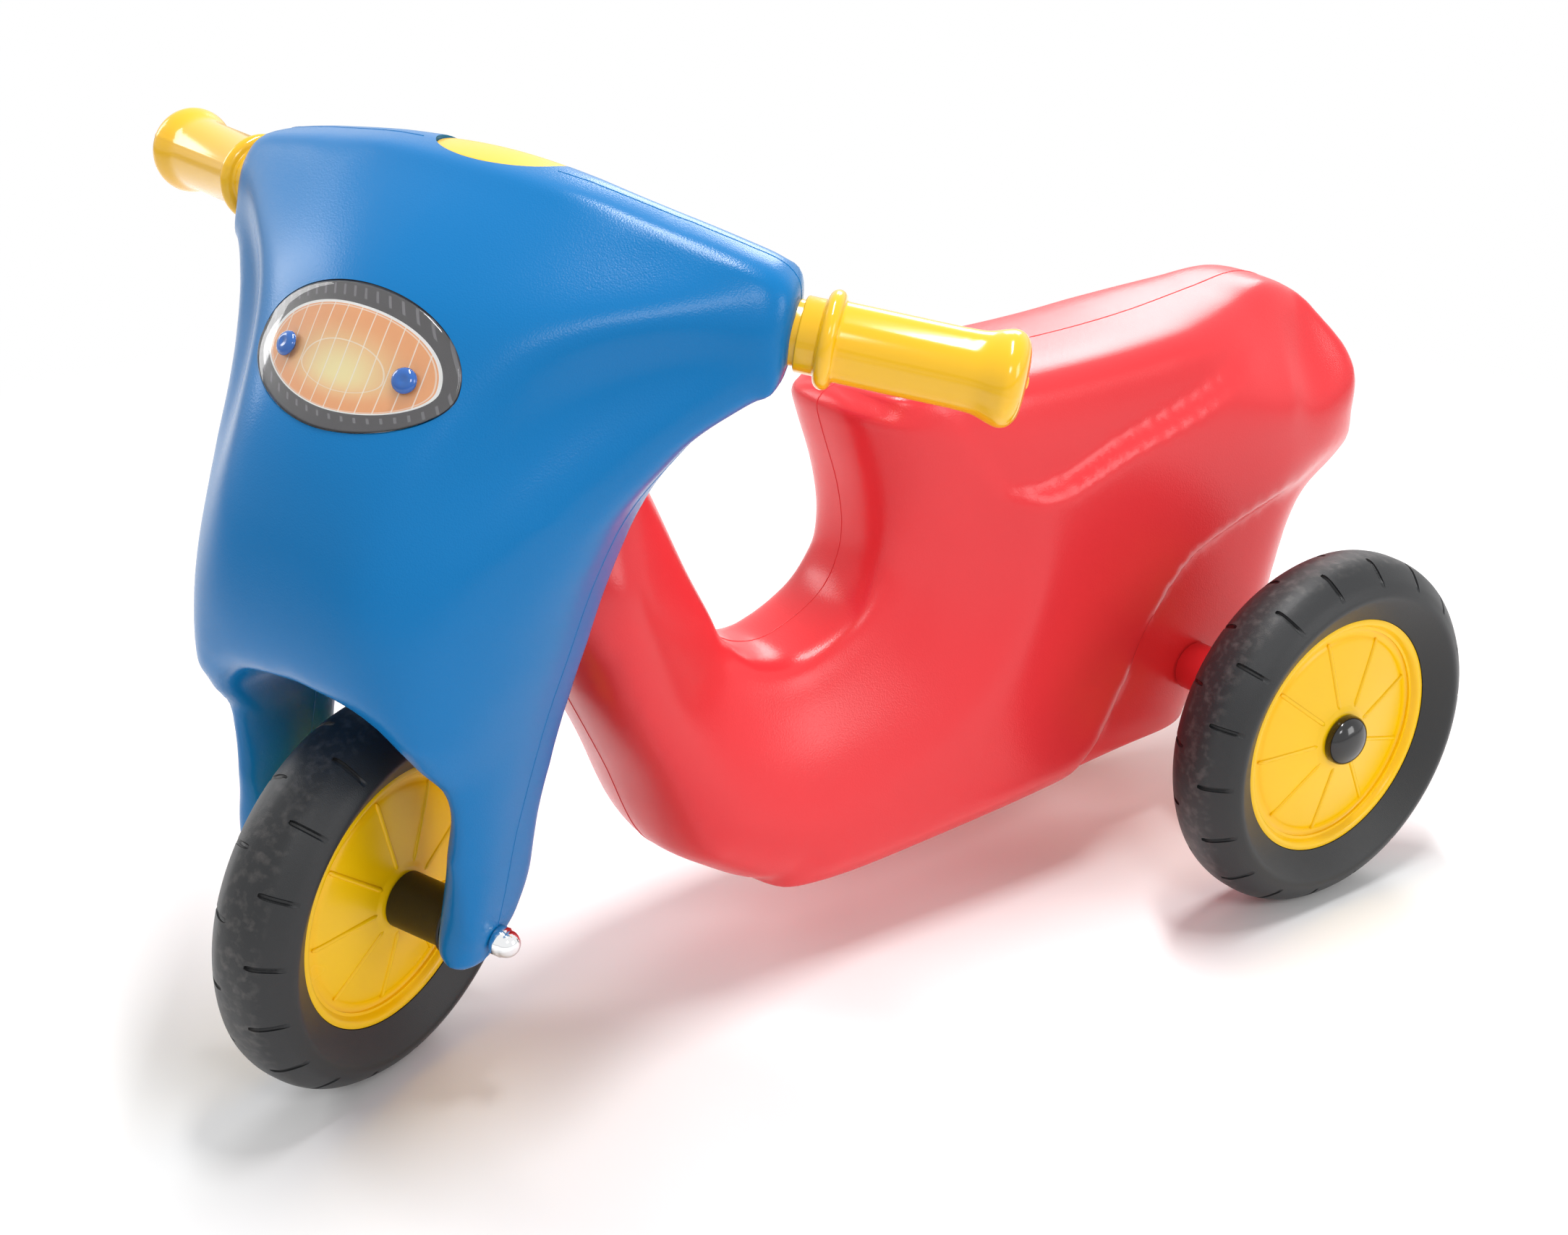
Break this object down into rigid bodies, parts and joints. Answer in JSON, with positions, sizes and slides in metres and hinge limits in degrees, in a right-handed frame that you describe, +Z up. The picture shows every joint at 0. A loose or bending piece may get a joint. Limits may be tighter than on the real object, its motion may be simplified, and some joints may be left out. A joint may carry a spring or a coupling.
{
  "type": "toddler ride-on motorcycle",
  "caption": "Toddler ride-on motorcycle: a moulded body with seat and step-through, a fairing that steers the fork and grips, and free-rolling front and rear wheels.",
  "frame": {"origin": "centre of the bounding box's footprint, on the ground, with the steering turned as in the picture", "axes": "-Y is the way the vehicle faces, +X is the rider's left, +Z is up"},
  "size_m": [0.3702, 0.6038, 0.3671],
  "materials": {
    "red_plastic": "fine-grained satin, blow-moulded",
    "blue_plastic": "fine-grained satin, blow-moulded",
    "yellow_plastic": "smooth gloss, injection-moulded",
    "tyre_rubber": "matt soft rubber",
    "black_plastic": "smooth gloss",
    "zinc_steel": "zinc-plated",
    "bright_steel": "bright chrome",
    "clear_plastic": "clear, polished",
    "printed_plastic": "printed"
  },
  "bodies": {
    "body": {"body_shell": "red_plastic", "rear_axle": "zinc_steel", "rear_spacer_left": "black_plastic", "rear_spacer_right": "black_plastic", "steering_bush_upper": "black_plastic", "steering_bush_lower": "black_plastic", "rear_left_cap": "black_plastic", "rear_right_cap": "black_plastic"},
    "fork": {"fairing": "blue_plastic", "steering_pin": "zinc_steel", "steering_washer": "zinc_steel", "steering_nut": "zinc_steel", "top_cap": "yellow_plastic", "grip_left": "yellow_plastic", "grip_right": "yellow_plastic", "headlight_panel": "printed_plastic", "headlight_lens": "clear_plastic", "headlight_stud_left": "blue_plastic", "headlight_stud_right": "blue_plastic", "front_axle": "zinc_steel", "front_axle_nut_left": "bright_steel", "front_axle_nut_right": "bright_steel", "front_spacer_left": "black_plastic", "front_spacer_right": "black_plastic"},
    "front_wheel": {"front_tyre": "tyre_rubber", "front_rim": "yellow_plastic", "front_hub_bush": "black_plastic"},
    "rear_left_wheel": {"rear_left_tyre": "tyre_rubber", "rear_left_rim": "yellow_plastic", "rear_left_hub_bush": "black_plastic"},
    "rear_right_wheel": {"rear_right_tyre": "tyre_rubber", "rear_right_rim": "yellow_plastic", "rear_right_hub_bush": "black_plastic"}
  },
  "joints": [
    {"name": "steering", "type": "hinge", "parent": "body", "child": "fork", "pos_m": [0.0205, -0.22413, 0.08233], "axis": [0, 0.225, 0.9744], "range_deg": [-50, 2]},
    {"name": "front_wheel_spin", "type": "hinge", "parent": "fork", "child": "front_wheel", "pos_m": [0.0205, -0.22413, 0.08233], "axis": [0.9135, 0.3963, -0.0915], "continuous": true},
    {"name": "rear_left_spin", "type": "hinge", "parent": "body", "child": "rear_left_wheel", "pos_m": [0.1405, 0.18387, 0.08233], "axis": [1, 0, 0], "continuous": true},
    {"name": "rear_right_spin", "type": "hinge", "parent": "body", "child": "rear_right_wheel", "pos_m": [-0.0995, 0.18387, 0.08233], "axis": [1, 0, 0], "continuous": true}
  ]
}
